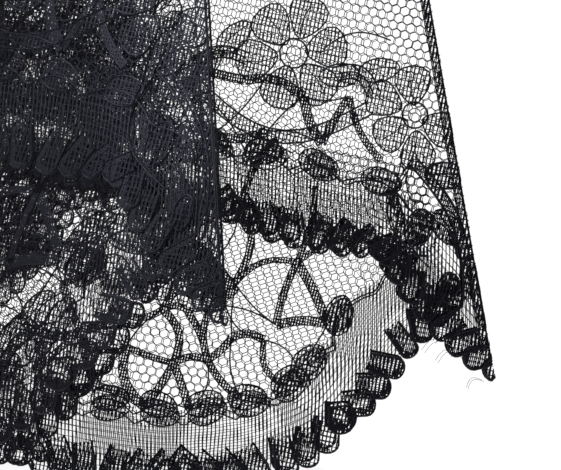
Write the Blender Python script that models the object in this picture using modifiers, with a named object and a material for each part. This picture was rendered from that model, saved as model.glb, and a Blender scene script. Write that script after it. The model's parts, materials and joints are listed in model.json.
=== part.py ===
"""A black lace parasol, held point up and nearly closed, with its lace folded outwards between the ribs.

Metres, +Z up the shaft. The origin is the centre of the flat face at the handle's lower end.
Eight ribs swing on a wire in the crown notch. Eight stretchers, pivoted on lugs inside the ribs, reach
down to the runner that slides on the shaft. Each gore of lace is two wings, one on each of its ribs,
which stand out in a fin when the parasol is closed and lie flat, edge to edge, when it is open.
"""

import math

import bmesh
import bpy
from mathutils import Matrix

RIBS = 8
CLEARANCE = 0.0003  # between pieces that touch
RUNNING_CLEARANCE = 0.0004  # each side, between pieces that slide or turn on each other
ROUND_STEPS = 20
SMALL_STEPS = 10
TIP_STEPS = 8
WIRE_STEPS = 4 * RIBS
HANDLE_STATIONS = 17

# Angles of the ribs from the shaft, measured from straight down.
CLOSED_ANGLE = math.radians(12)
OPEN_ANGLE = math.radians(76)

# Handle, in black lacquered wood, with a metal cap under it and a metal collar over it.
END_CAP_RADIUS = 0.0125
END_CAP_HEIGHT = 0.006
HANDLE_LENGTH = 0.150
HANDLE_RADIUS = 0.0105
HANDLE_SOCKET_DEPTH = 0.035
COLLAR_HEIGHT = 0.012
COLLAR_WALL = 0.0022

# Shaft.
SHAFT_RADIUS = 0.005
SHAFT_WALL = 0.0014
CROWN_HEIGHT = 0.780  # of the ribs' pivots over the origin

# Crown notch, its wire, and the pieces over it.
PIVOT_RADIUS = 0.010  # of the ribs' pivots and of the stretchers' lower ends round the shaft
NOTCH_RADIUS = 0.0135
NOTCH_HALF_HEIGHT = 0.005
SLOT_FLOOR_RADIUS = 0.0076
WIRE_RADIUS = 0.00045
CROWN_CAP_RADIUS = 0.0145
CROWN_CAP_HEIGHT = 0.0035
ROSETTE_RADIUS = 0.026
ROSETTE_THICKNESS = 0.0012
ROSETTE_DROP = 0.004
FERRULE_LENGTH = 0.034
FERRULE_RADIUS = 0.0076
FINIAL_LENGTH = 0.038
FINIAL_RADIUS = 0.0058
SPIGOT_RADIUS = 0.0022
SPIGOT_LENGTH = 0.008

# Ribs, stretchers and tips.
RIB_LENGTH = 0.380
RIB_RADIUS = 0.0011
EYE_RADIUS = 0.00125  # middle of the eye's ring
EYE_WIRE_RADIUS = 0.00045
LUG_AT = 0.158  # along the rib from its pivot
LUG_DEPTH = 0.004  # from the rib's line in to the stretcher's pivot
LUG_THICKNESS = 0.0016
STRETCHER_RADIUS = 0.0009
STRETCHER_EYE_RADIUS = 0.0016
STRETCHER_EYE_THICKNESS = 0.0016
TIP_RADIUS = 0.0034
TIP_LENGTH = 0.014
TIP_SOCKET_DEPTH = 0.006

# Runner.
RUNNER_RADIUS = 0.0077
RUNNER_FLANGE_RADIUS = 0.0132
RUNNER_FLANGE_HALF_HEIGHT = 0.004
RUNNER_SLEEVE_LENGTH = 0.060  # below the stretchers' pivots
GRIP_HEIGHT = 0.009
GRIP_WALL = 0.0018

# Spring catches, in slots of the shaft, and the keyway that lets the runner pass over them.
CATCH_WIDTH = 0.0022
CATCH_LENGTH = 0.022
CATCH_THICKNESS = 0.0012
CATCH_NOSE_LENGTH = 0.008
CATCH_PROUD = 0.0010

# Lace wings, as plain thin solids of the lace's outline.
LACE_THICKNESS = 0.0012
LACE_START = 0.010  # along the rib
LACE_END_ABOVE_TIP = 0.0035  # above the rib tip's upper end
SCALLOPS = 5
SCALLOP_DEPTH = 0.009
SCALLOP_STEPS = 5
POINT_DROP = 0.021  # how far the hem's point between two ribs hangs lower than the rest
POINT_SHARE = 0.18  # of the hem's width, over which the hem drops to that point

HALF_GORE = math.pi / RIBS
SHAFT_BORE = SHAFT_RADIUS - SHAFT_WALL
RUNNING_BORE = SHAFT_RADIUS + RUNNING_CLEARANCE
FIXED_BORE = SHAFT_RADIUS + CLEARANCE
HANDLE_TOP = END_CAP_HEIGHT + CLEARANCE + HANDLE_LENGTH
STRETCHER_LENGTH = math.hypot(LUG_AT, LUG_DEPTH)
LUG_ANGLE = math.atan2(LUG_DEPTH, LUG_AT)
STRETCHER_SIDE = (LUG_THICKNESS + STRETCHER_EYE_THICKNESS) / 2 + RUNNING_CLEARANCE
CLOSED_RUNNER_HEIGHT = CROWN_HEIGHT - 2 * STRETCHER_LENGTH * math.cos(CLOSED_ANGLE - LUG_ANGLE)
OPEN_RUNNER_HEIGHT = CROWN_HEIGHT - 2 * STRETCHER_LENGTH * math.cos(OPEN_ANGLE - LUG_ANGLE)
CATCH_AZIMUTH = HALF_GORE
CROWN_CAP_BASE = CROWN_HEIGHT + NOTCH_HALF_HEIGHT + CLEARANCE
ROSETTE_BASE = CROWN_CAP_BASE + CROWN_CAP_HEIGHT + CLEARANCE
FERRULE_BASE = ROSETTE_BASE + ROSETTE_THICKNESS + CLEARANCE
FERRULE_TOP = FERRULE_BASE + FERRULE_LENGTH
SHAFT_TOP = FERRULE_BASE + FERRULE_LENGTH * 0.6


def clear_scene():
    for obj in list(bpy.data.objects):
        bpy.data.objects.remove(obj, do_unlink=True)


def new_collection(name):
    collection = bpy.data.collections.new(name)
    bpy.context.scene.collection.children.link(collection)
    return collection


def new_material(name, color, roughness, metallic):
    material = bpy.data.materials.new(name)
    material.use_nodes = True
    shader = material.node_tree.nodes["Principled BSDF"]
    shader.inputs["Base Color"].default_value = (*color, 1)
    shader.inputs["Roughness"].default_value = roughness
    shader.inputs["Metallic"].default_value = metallic
    return material


def new_object(name, mesh, collection, material=None):
    obj = bpy.data.objects.new(name, mesh)
    collection.objects.link(obj)
    if material and not mesh.materials:
        mesh.materials.append(material)
    return obj


def new_empty(name, collection, parent=None, matrix=None):
    empty = bpy.data.objects.new(name, None)
    empty.empty_display_size = 0.01
    collection.objects.link(empty)
    empty.parent = parent
    empty.matrix_local = matrix or Matrix.Identity(4)
    return empty


def mesh_of(build):
    """A new mesh, filled by build(bm)."""
    bm = bmesh.new()
    build(bm)
    bmesh.ops.recalc_face_normals(bm, faces=bm.faces)
    mesh = bpy.data.meshes.new("mesh")
    bm.to_mesh(mesh)
    bm.free()
    return mesh


def smooth(mesh):
    mesh.shade_smooth()
    mesh.set_sharp_from_angle(angle=math.radians(35))


def turned(name, profile, collection, material=None, steps=ROUND_STEPS, closed=False):
    """A turned piece: (radius, height) points that run down the outer side, top to bottom."""
    mesh = bpy.data.meshes.new(name)
    edges = [(i, i + 1) for i in range(len(profile) - 1)]
    if closed:
        edges.append((len(profile) - 1, 0))
    mesh.from_pydata([(radius, 0, height) for radius, height in profile], edges, [])
    obj = new_object(name, mesh, collection, material)
    screw = obj.modifiers.new("turn", "SCREW")
    screw.axis = "Z"
    screw.steps = screw.render_steps = steps
    screw.use_merge_vertices = True
    screw.merge_threshold = 0.00001
    screw.use_smooth_shade = True
    return obj


def applied(obj):
    """The object as a plain mesh with its modifiers applied."""
    bpy.context.view_layer.update()
    graph = bpy.context.evaluated_depsgraph_get()
    mesh = bpy.data.meshes.new_from_object(obj.evaluated_get(graph))
    obj.modifiers.clear()
    obj.data = mesh
    smooth(mesh)
    return obj


def hide_as_cutter(obj, cutters):
    for collection in list(obj.users_collection):
        collection.objects.unlink(obj)
    cutters.objects.link(obj)
    obj.hide_render = True
    obj.display_type = "WIRE"


def boolean(obj, other, operation, cutters):
    hide_as_cutter(other, cutters)
    modifier = obj.modifiers.new(operation.lower(), "BOOLEAN")
    modifier.operation = operation
    modifier.object = other
    modifier.solver = "EXACT"


def box(name, size, centre, cutters, turn=0.0):
    """A block of the given size, its centre given before it is turned about the Z axis."""

    def build(bm):
        bmesh.ops.create_cube(bm, size=1)
        bmesh.ops.scale(bm, vec=size, verts=bm.verts)
        bmesh.ops.translate(bm, vec=centre, verts=bm.verts)
        bmesh.ops.rotate(bm, matrix=Matrix.Rotation(turn, 3, "Z"), verts=bm.verts)

    return new_object(name, mesh_of(build), cutters)


def cylinder(name, radius, length, matrix, cutters, steps=SMALL_STEPS):
    """A cylinder along the matrix's Z axis, about its origin."""

    def build(bm):
        bmesh.ops.create_cone(
            bm, cap_ends=True, segments=steps, radius1=radius, radius2=radius, depth=length, matrix=matrix
        )

    return new_object(name, mesh_of(build), cutters)


def torus_profile(major, minor, height, sides):
    """A round section that runs the right way for a turned ring."""
    turns = [2 * math.pi * (i + 0.5) / sides for i in range(sides)]
    return [(major + minor * math.cos(a), height - minor * math.sin(a)) for a in turns]


def arc(centre, radius, start, end, steps):
    """Points (radius, height) round a centre, with the angles in degrees from +X, anticlockwise."""
    angles = [math.radians(start + (end - start) * i / steps) for i in range(steps + 1)]
    return [(centre[0] + radius * math.cos(a), centre[1] + radius * math.sin(a)) for a in angles]


def make_end_cap(parts, material):
    edge = 0.0015
    profile = [(0, END_CAP_HEIGHT), (END_CAP_RADIUS - edge, END_CAP_HEIGHT)]
    profile += arc((END_CAP_RADIUS - edge, END_CAP_HEIGHT - edge), edge, 60, 0, 2)
    profile += [(END_CAP_RADIUS, edge), (END_CAP_RADIUS - edge, 0), (0, 0)]
    turned("end_cap", profile, parts, material)


def make_handle(parts, material):
    """A turned grip: a bulb at the end, a waist, a long swell, a bead and a neck, with a socket on top."""
    base = END_CAP_HEIGHT + CLEARANCE
    socket_floor = HANDLE_TOP - HANDLE_SOCKET_DEPTH
    neck = SHAFT_RADIUS + 0.003

    def swell(share):
        """The grip's radius, over the share of its height from its base."""
        bulb = 0.0022 * math.exp(-(((share - 0.10) / 0.07) ** 2))
        body = 0.0030 * math.exp(-(((share - 0.55) / 0.22) ** 2))
        bead = 0.0026 * math.exp(-(((share - 0.88) / 0.040) ** 2))
        return HANDLE_RADIUS - 0.0028 + bulb + body + bead

    shares = [i / HANDLE_STATIONS for i in range(HANDLE_STATIONS - 1, 0, -1)]
    outer = [(swell(share), base + HANDLE_LENGTH * share) for share in shares]
    profile = [(0, socket_floor), (FIXED_BORE, socket_floor), (FIXED_BORE, HANDLE_TOP), (neck, HANDLE_TOP)]
    profile += outer
    profile += [(END_CAP_RADIUS - 0.0015, base), (0, base)]
    turned("handle", profile, parts, material)


def make_handle_collar(parts, material):
    base = HANDLE_TOP + CLEARANCE
    top = base + COLLAR_HEIGHT
    outer = FIXED_BORE + COLLAR_WALL
    ring = [(outer, top), (outer, top - 0.003), (outer + 0.0012, top - 0.0045), (outer + 0.0012, base + 0.002)]
    ring += [(outer + 0.0004, base), (FIXED_BORE, base), (FIXED_BORE, top)]
    turned("handle_collar", ring, parts, material, closed=True)


def make_shaft(parts, cutters, material):
    base = HANDLE_TOP - HANDLE_SOCKET_DEPTH + CLEARANCE
    ring = [(SHAFT_RADIUS, SHAFT_TOP), (SHAFT_RADIUS, base), (SHAFT_BORE, base), (SHAFT_BORE, SHAFT_TOP)]
    shaft = turned("shaft", ring, parts, material, closed=True)
    for name, base in (("lower", catch_base(LOWER_CATCH_NOSE)), ("upper", catch_base(UPPER_CATCH_NOSE))):
        width = CATCH_WIDTH + 2 * RUNNING_CLEARANCE
        length = CATCH_LENGTH + 2 * RUNNING_CLEARANCE
        centre = (SHAFT_RADIUS, 0, base + CATCH_LENGTH / 2)
        slot = box(f"{name}_slot", (2 * SHAFT_WALL + 0.002, width, length), centre, cutters, CATCH_AZIMUTH)
        boolean(shaft, slot, "DIFFERENCE", cutters)


def catch_base(nose_height):
    """The height of a catch's pivot end, from the height of its nose's lower edge."""
    return nose_height - (CATCH_LENGTH - CATCH_NOSE_LENGTH)


# The lower catch's nose stands over the closed runner, and the upper one's stands under the open runner.
LOWER_CATCH_NOSE = CLOSED_RUNNER_HEIGHT + RUNNER_FLANGE_HALF_HEIGHT + 0.001
UPPER_CATCH_NOSE = OPEN_RUNNER_HEIGHT - RUNNER_SLEEVE_LENGTH - GRIP_WALL - CATCH_NOSE_LENGTH - 0.001


def make_catch(name, nose_height, nose_up, parts, material):
    """A leaf in the shaft's slot, pivoted at its lower end, with a ramped nose that stands out of the slot."""
    inner = SHAFT_RADIUS - CATCH_THICKNESS
    top = CATCH_LENGTH
    nose = top - CATCH_NOSE_LENGTH
    proud = SHAFT_RADIUS + CATCH_PROUD
    flush = SHAFT_RADIUS - CLEARANCE
    shoulder = [(proud, nose + 0.0006), (flush + 0.0002, top)] if nose_up else [(flush, nose), (proud, top - 0.0006)]
    outline = [(inner - 0.0004, 0), (flush - 0.0004, 0), (flush, 0.001), (flush, nose - 0.0001)]
    outline += shoulder
    outline += [(inner, top), (inner - 0.0004, 0.004)]

    def build(bm):
        face = bm.faces.new([bm.verts.new((r, -CATCH_WIDTH / 2, z)) for r, z in outline])
        grown = bmesh.ops.extrude_face_region(bm, geom=[face])
        moved = [v for v in grown["geom"] if isinstance(v, bmesh.types.BMVert)]
        bmesh.ops.translate(bm, vec=(0, CATCH_WIDTH, 0), verts=moved)

    turn = Matrix.Rotation(CATCH_AZIMUTH, 4, "Z")
    pivot = Matrix.Translation((inner, 0, 0))
    mesh = mesh_of(build)
    mesh.transform(pivot.inverted())
    obj = new_object(name, mesh, parts, material)
    obj.matrix_world = Matrix.Translation((0, 0, catch_base(nose_height))) @ turn @ pivot


def radial_slots(name, floor, outer, height, width, half_height, side, cutters):
    """One cutter for all the slots of a notch: a block for each, joined where they don't touch."""

    def build(bm):
        for i in range(RIBS):
            made = bmesh.ops.create_cube(bm, size=1)["verts"]
            bmesh.ops.scale(bm, vec=(outer - floor, width, 2 * half_height), verts=made)
            bmesh.ops.translate(bm, vec=((outer + floor) / 2, side, height), verts=made)
            bmesh.ops.rotate(bm, matrix=Matrix.Rotation(2 * HALF_GORE * i, 3, "Z"), verts=made)

    return new_object(name, mesh_of(build), cutters)


def make_crown_notch(parts, cutters, material):
    top = CROWN_HEIGHT + NOTCH_HALF_HEIGHT
    base = CROWN_HEIGHT - NOTCH_HALF_HEIGHT
    collar = SLOT_FLOOR_RADIUS
    ring = [(NOTCH_RADIUS - 0.001, top), (NOTCH_RADIUS, top - 0.001), (NOTCH_RADIUS, base + 0.001)]
    ring += [(NOTCH_RADIUS - 0.001, base), (collar, base), (collar, base - 0.006)]
    ring += [(FIXED_BORE, base - 0.006), (FIXED_BORE, top)]
    notch = turned("crown_notch", ring, parts, material, closed=True)
    width = 2 * (RIB_RADIUS + RUNNING_CLEARANCE)
    slots = radial_slots(
        "crown_slots", SLOT_FLOOR_RADIUS, NOTCH_RADIUS + 0.003, CROWN_HEIGHT, width,
        NOTCH_HALF_HEIGHT + 0.002, 0, cutters,
    )
    boolean(notch, slots, "DIFFERENCE", cutters)
    groove = torus_profile(PIVOT_RADIUS, WIRE_RADIUS + CLEARANCE, CROWN_HEIGHT, 6)
    channel = turned("crown_wire_channel", groove, cutters, steps=WIRE_STEPS, closed=True)
    boolean(notch, channel, "DIFFERENCE", cutters)


def make_crown_wire(parts, material):
    ring = torus_profile(PIVOT_RADIUS, WIRE_RADIUS, CROWN_HEIGHT, 6)
    turned("crown_wire", ring, parts, material, steps=WIRE_STEPS, closed=True)


def make_crown_cap(parts, material):
    base = CROWN_CAP_BASE
    top = base + CROWN_CAP_HEIGHT
    ring = [(FIXED_BORE + 0.003, top), (CROWN_CAP_RADIUS - 0.002, top - 0.0008), (CROWN_CAP_RADIUS, base + 0.001)]
    ring += [(CROWN_CAP_RADIUS - 0.0004, base), (FIXED_BORE, base), (FIXED_BORE, top)]
    turned("crown_cap", ring, parts, material, closed=True)


def make_top_rosette(parts, material):
    """The small round of lace over the crown, as a shallow cone clear of the cap under it."""
    base = ROSETTE_BASE
    flat = CROWN_CAP_RADIUS
    top = base + ROSETTE_THICKNESS
    ring = [(flat, top), (ROSETTE_RADIUS, top - ROSETTE_DROP), (ROSETTE_RADIUS, base - ROSETTE_DROP)]
    ring += [(flat + 0.0006, base), (FIXED_BORE, base), (FIXED_BORE, top)]
    turned("top_rosette", ring, parts, material, closed=True)


def make_ferrule(parts, material):
    base, top = FERRULE_BASE, FERRULE_TOP
    socket_top = SHAFT_TOP + CLEARANCE
    hole = SPIGOT_RADIUS + CLEARANCE
    ring = [(FERRULE_RADIUS - 0.0022, top), (FERRULE_RADIUS - 0.0016, base + 0.010), (FERRULE_RADIUS, base + 0.007)]
    ring += [(FERRULE_RADIUS, base + 0.0015), (FERRULE_RADIUS - 0.0008, base), (FIXED_BORE, base)]
    ring += [(FIXED_BORE, socket_top), (hole, socket_top), (hole, top)]
    turned("ferrule", ring, parts, material, closed=True)


def make_finial(parts, material):
    base = FERRULE_TOP + CLEARANCE
    foot = FERRULE_RADIUS - 0.0024
    bulb = base + FINIAL_LENGTH * 0.40
    profile = [(0, base + FINIAL_LENGTH), (0.0010, base + FINIAL_LENGTH - 0.0006)]
    profile += [(0.0017, bulb + 0.014), (0.0027, bulb + 0.0085)]
    profile += arc((0, bulb), FINIAL_RADIUS, 60, -50, 6)
    profile += [(0.0030, bulb - 0.0065), (foot, base + 0.004), (foot, base)]
    profile += [(SPIGOT_RADIUS, base), (SPIGOT_RADIUS, base - SPIGOT_LENGTH), (0, base - SPIGOT_LENGTH)]
    turned("finial", profile, parts, material)


def make_runner(parts, cutters, material, grip_material, slide):
    top = RUNNER_FLANGE_HALF_HEIGHT
    base = -RUNNER_SLEEVE_LENGTH
    ring = [(RUNNER_FLANGE_RADIUS - 0.0008, top), (RUNNER_FLANGE_RADIUS, top - 0.0008)]
    ring += [(RUNNER_FLANGE_RADIUS, -top + 0.0008), (RUNNER_FLANGE_RADIUS - 0.0008, -top)]
    ring += [(RUNNER_RADIUS, -top), (RUNNER_RADIUS, base + GRIP_HEIGHT + CLEARANCE)]
    seat = RUNNER_RADIUS - 0.0006
    ring += [(seat, base + GRIP_HEIGHT + CLEARANCE), (seat, base), (RUNNING_BORE, base), (RUNNING_BORE, top)]
    runner = turned("runner", ring, parts, material, closed=True)
    width = STRETCHER_EYE_THICKNESS + 2 * RUNNING_CLEARANCE
    slots = radial_slots(
        "runner_slots", RUNNER_RADIUS + 0.0001, RUNNER_FLANGE_RADIUS + 0.003, 0, width,
        RUNNER_FLANGE_HALF_HEIGHT + 0.002, STRETCHER_SIDE, cutters,
    )
    boolean(runner, slots, "DIFFERENCE", cutters)
    keyway_depth = SHAFT_RADIUS + CATCH_PROUD + CLEARANCE
    keyway = box(
        "runner_keyway",
        (keyway_depth, CATCH_WIDTH + 2 * RUNNING_CLEARANCE, RUNNER_SLEEVE_LENGTH + 0.020),
        (keyway_depth / 2, 0, -RUNNER_SLEEVE_LENGTH / 2),
        cutters,
        CATCH_AZIMUTH,
    )
    boolean(runner, keyway, "DIFFERENCE", cutters)
    grip_bore = seat + CLEARANCE
    outer = seat + GRIP_WALL
    low = base + 0.0002
    high = base + GRIP_HEIGHT
    grip = [(outer - 0.0006, high), (outer, high - 0.0012), (outer - 0.0004, (low + high) / 2)]
    grip += [(outer, low + 0.0012), (outer - 0.0006, low), (grip_bore, low), (grip_bore, high)]
    ring_object = turned("runner_grip", grip, parts, grip_material, closed=True)
    for obj in (runner, slots, keyway, ring_object):
        obj.parent = slide


def rib_mesh(cutters, material):
    """A rib along -Z from the middle of its eye, with its lug on the -X side."""
    side = Matrix.Rotation(math.pi / 2, 4, "X")
    length = RIB_LENGTH - EYE_RADIUS
    rod = cylinder("rib_rod", RIB_RADIUS, length, Matrix.Translation((0, 0, -EYE_RADIUS - length / 2)), cutters, 8)
    section = torus_profile(EYE_RADIUS, EYE_WIRE_RADIUS, 0, 6)
    eye = applied(turned("rib_eye", section, cutters, steps=SMALL_STEPS, closed=True))
    eye.data.transform(side)
    lug_size = (LUG_DEPTH + STRETCHER_EYE_RADIUS, LUG_THICKNESS, 2 * STRETCHER_EYE_RADIUS)
    lug = box("rib_lug", lug_size, (-lug_size[0] / 2, 0, -LUG_AT), cutters)
    for other in (eye, lug):
        boolean(rod, other, "UNION", cutters)
    hide_as_cutter(rod, cutters)
    mesh = applied(rod).data.copy()
    mesh.materials.clear()
    mesh.materials.append(material)
    return mesh


def stretcher_mesh(cutters, material):
    """A stretcher along -Z from its upper pivot, with a flat eye at each end, on the +Y side of its plane."""
    across = Matrix.Rotation(math.pi / 2, 4, "X")
    centre = Matrix.Translation((0, STRETCHER_SIDE, -STRETCHER_LENGTH / 2))
    rod = cylinder("stretcher_rod", STRETCHER_RADIUS, STRETCHER_LENGTH, centre, cutters, 8)
    for name, drop in (("upper", 0), ("lower", STRETCHER_LENGTH)):
        place = Matrix.Translation((0, STRETCHER_SIDE, -drop)) @ across
        eye = cylinder(f"stretcher_{name}_eye", STRETCHER_EYE_RADIUS, STRETCHER_EYE_THICKNESS, place, cutters)
        boolean(rod, eye, "UNION", cutters)
    hide_as_cutter(rod, cutters)
    mesh = applied(rod).data.copy()
    mesh.materials.clear()
    mesh.materials.append(material)
    return mesh


def tip_mesh(cutters, material):
    """A turned bead on the rib's end, with a socket for the rib, along -Z from the rib's pivot."""
    bore = RIB_RADIUS + CLEARANCE
    top = -RIB_LENGTH + TIP_SOCKET_DEPTH
    floor = -RIB_LENGTH - CLEARANCE
    ball = top - TIP_LENGTH + TIP_RADIUS
    profile = [(0, floor), (bore, floor), (bore, top), (bore + 0.0008, top)]
    profile += [(bore + 0.0009, top - 0.0035)]
    profile += arc((0, ball), TIP_RADIUS, 50, -60, 5)
    profile += [(0, ball - TIP_RADIUS)]
    bead = turned("rib_tip_turned", profile, cutters, steps=TIP_STEPS)
    hide_as_cutter(bead, cutters)
    mesh = applied(bead).data.copy()
    mesh.materials.clear()
    mesh.materials.append(material)
    return mesh


def wing_closed_angle(along):
    """A wing's angle at rest, from the tangent outwards, so that its crest is on the gore's middle plane."""
    share = (PIVOT_RADIUS + along * math.sin(CLOSED_ANGLE)) / (PIVOT_RADIUS + along * math.sin(OPEN_ANGLE))
    fold = math.acos(share * math.cos(gore_angle(OPEN_ANGLE)) / math.cos(gore_angle(CLOSED_ANGLE)))
    return fold - gore_dip(CLOSED_ANGLE)


def gore_angle(rib_angle):
    """Between a rib and the middle line of its gore, in the gore's plane."""
    return math.asin(math.sin(rib_angle) * math.sin(HALF_GORE))


def gore_dip(rib_angle):
    """Between the tangent at a rib and its gore's plane, across the rib."""
    return math.atan(math.tan(HALF_GORE) * math.cos(rib_angle))


def crest(along):
    """The half gore's full width across the rib, at a distance along the rib."""
    return (along + PIVOT_RADIUS / math.sin(OPEN_ANGLE)) * math.tan(gore_angle(OPEN_ANGLE))


def clear_share(steps=40):
    """The share of its width that a flat wing can have without crossing the middle plane on its way."""
    least = 1.0
    closed = wing_closed_angle(RIB_LENGTH)
    travel = closed + gore_dip(OPEN_ANGLE)
    for along in (LACE_START, RIB_LENGTH):
        for i in range(steps + 1):
            share = i / steps
            rib = CLOSED_ANGLE + share * (OPEN_ANGLE - CLOSED_ANGLE)
            fold = closed - share * travel + gore_dip(rib)
            room = (PIVOT_RADIUS + along * math.sin(rib)) * math.sin(HALF_GORE)
            reach = crest(along) * math.cos(fold) * math.cos(gore_angle(rib))
            least = min(least, room / reach)
    return least


def wing_outline():
    """The (across, along) points of a half gore: the rib's side, the scalloped hem, and the crest."""
    near = RIB_RADIUS + 0.0009
    share = clear_share() - 2 * LACE_THICKNESS / crest(RIB_LENGTH)
    hem_start = RIB_LENGTH - TIP_SOCKET_DEPTH - LACE_END_ABOVE_TIP
    width = crest(hem_start + POINT_DROP) * share

    def guide(across):
        """The line through the cusps between the scallops, with the point at the crest."""
        reach = max(0.0, (across / width - 1 + POINT_SHARE) / POINT_SHARE)
        return hem_start + POINT_DROP * reach

    pitch = (width - near) / SCALLOPS
    hem = [(near, hem_start)]
    for i in range(SCALLOPS):
        depth = SCALLOP_DEPTH if i < SCALLOPS - 1 else SCALLOP_DEPTH / 2
        for j in range(1, SCALLOP_STEPS + 1):
            part = j / SCALLOP_STEPS
            across = near + pitch * (i + part)
            hem.append((across, guide(across) + depth * math.sin(math.pi * part)))
    return [(near, LACE_START)] + hem + [(crest(LACE_START) * share, LACE_START)]


def make_wing(name, side, parent, parts, material):
    """One half gore on its rib: side 1 is towards the next rib round, anticlockwise, and -1 the other way."""
    outline = [(side * across, -along) for across, along in wing_outline()]
    curve = bpy.data.curves.new(name, "CURVE")
    curve.dimensions = "2D"
    curve.fill_mode = "BOTH"
    curve.extrude = LACE_THICKNESS / 2
    spline = curve.splines.new("POLY")
    spline.points.add(len(outline) - 1)
    for point, (x, y) in zip(spline.points, outline):
        point.co = (x, y, 0, 1)
    spline.use_cyclic_u = True
    curve.materials.append(material)
    wing = bpy.data.objects.new(name, curve)
    parts.objects.link(wing)
    wing.parent = parent
    upright = Matrix(((0, 0, 1, 0), (1, 0, 0, 0), (0, 1, 0, 0), (0, 0, 0, 1)))
    wing.matrix_local = Matrix.Rotation(-side * wing_closed_angle(RIB_LENGTH), 4, "Z") @ upright


def make_frame(parts, cutters, steel, lace):
    """The ribs with their tips, stretchers and lace, each rib under an empty on its pivot."""
    rib = rib_mesh(cutters, steel)
    stretcher = stretcher_mesh(cutters, steel)
    tip = tip_mesh(cutters, steel)
    for i in range(RIBS):
        number = i + 1
        turn = Matrix.Rotation(2 * HALF_GORE * i, 4, "Z")
        pivot = Matrix.Translation((PIVOT_RADIUS, 0, CROWN_HEIGHT))
        hinge = new_empty(
            f"rib_hinge_{number}", parts, None, turn @ pivot @ Matrix.Rotation(-CLOSED_ANGLE, 4, "Y")
        )
        new_object(f"rib_{number}", rib, parts).parent = hinge
        new_object(f"rib_tip_{number}", tip, parts).parent = hinge
        lug = new_empty(
            f"stretcher_hinge_{number}",
            parts,
            hinge,
            Matrix.Translation((-LUG_DEPTH, 0, -LUG_AT))
            @ Matrix.Rotation(2 * CLOSED_ANGLE - LUG_ANGLE, 4, "Y"),
        )
        new_object(f"stretcher_{number}", stretcher, parts).parent = lug
        make_wing(f"lace_left_{number}", 1, hinge, parts, lace)
        make_wing(f"lace_right_{number}", -1, hinge, parts, lace)


def main():
    clear_scene()
    parts = new_collection("lace_parasol")
    cutters = new_collection("cutters")
    wood = new_material("black_lacquered_wood", (0.02, 0.017, 0.016), 0.28, 0.0)
    metal = new_material("aged_silver_metal", (0.46, 0.45, 0.43), 0.32, 1.0)
    steel = new_material("blackened_steel", (0.05, 0.05, 0.055), 0.38, 0.9)
    lace = new_material("black_lace", (0.012, 0.012, 0.016), 0.75, 0.0)
    make_end_cap(parts, metal)
    make_handle(parts, wood)
    make_handle_collar(parts, metal)
    make_shaft(parts, cutters, wood)
    make_catch("lower_catch", LOWER_CATCH_NOSE, True, parts, metal)
    make_catch("upper_catch", UPPER_CATCH_NOSE, False, parts, metal)
    make_crown_notch(parts, cutters, steel)
    make_crown_wire(parts, steel)
    make_crown_cap(parts, metal)
    make_top_rosette(parts, lace)
    make_ferrule(parts, metal)
    make_finial(parts, wood)
    slide = new_empty("runner_slide", parts, None, Matrix.Translation((0, 0, CLOSED_RUNNER_HEIGHT)))
    make_runner(parts, cutters, steel, metal, slide)
    make_frame(parts, cutters, steel, lace)


main()
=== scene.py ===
"""The looks of the lace parasol: its lace, wood and metal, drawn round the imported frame."""
import json
import math

import bpy
import numpy as np
from mathutils import Matrix, Vector
from mathutils.bvhtree import BVHTree
from mathutils.noise import noise


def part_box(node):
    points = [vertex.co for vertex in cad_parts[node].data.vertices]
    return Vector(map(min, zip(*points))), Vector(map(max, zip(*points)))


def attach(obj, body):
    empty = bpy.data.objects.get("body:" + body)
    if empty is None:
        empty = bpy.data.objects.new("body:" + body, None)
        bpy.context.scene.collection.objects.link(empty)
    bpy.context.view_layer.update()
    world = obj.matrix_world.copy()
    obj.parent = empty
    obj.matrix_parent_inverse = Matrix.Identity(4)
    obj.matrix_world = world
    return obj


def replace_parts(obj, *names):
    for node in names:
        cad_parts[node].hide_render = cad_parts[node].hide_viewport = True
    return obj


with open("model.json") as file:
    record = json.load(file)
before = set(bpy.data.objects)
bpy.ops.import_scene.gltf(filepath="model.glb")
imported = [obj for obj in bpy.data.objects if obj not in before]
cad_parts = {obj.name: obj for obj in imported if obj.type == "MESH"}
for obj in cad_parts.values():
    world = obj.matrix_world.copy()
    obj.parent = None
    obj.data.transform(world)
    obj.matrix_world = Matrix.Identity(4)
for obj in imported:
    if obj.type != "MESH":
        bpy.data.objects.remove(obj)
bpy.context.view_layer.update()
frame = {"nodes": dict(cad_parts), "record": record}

MM = 0.001
rng = np.random.default_rng(7)

# ---- the frame that the lace hangs on

JOINTS = {joint["name"]: joint for joint in frame["record"]["behaviour"]["joints"]}
SLOTS = {part["node"]: part["material_slot"] for part in frame["record"]["subparts"]}
RIBS = sum(name.startswith("rib_") for name in JOINTS)
HALF_GORE = math.pi / RIBS
PIVOT_RADIUS = math.hypot(*JOINTS["rib_1_hinge"]["pos_m"][:2])
RIB_DOWN = Vector(JOINTS["lace_right_1_fold"]["axis"])  # along rib 1, from its pivot to its tip
CLOSED_ANGLE = math.atan2(math.hypot(RIB_DOWN.x, RIB_DOWN.y), -RIB_DOWN.z)
OPEN_ANGLE = CLOSED_ANGLE + math.radians(JOINTS["rib_1_hinge"]["range_deg"][1])
CROWN = Vector((0, 0, JOINTS["rib_1_hinge"]["pos_m"][2]))
TIP_TOP = (CROWN.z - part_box("rib_tip_1")[1].z) / math.cos(CLOSED_ANGLE)  # along the rib to its bead

# ---- sizes of the lace

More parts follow.
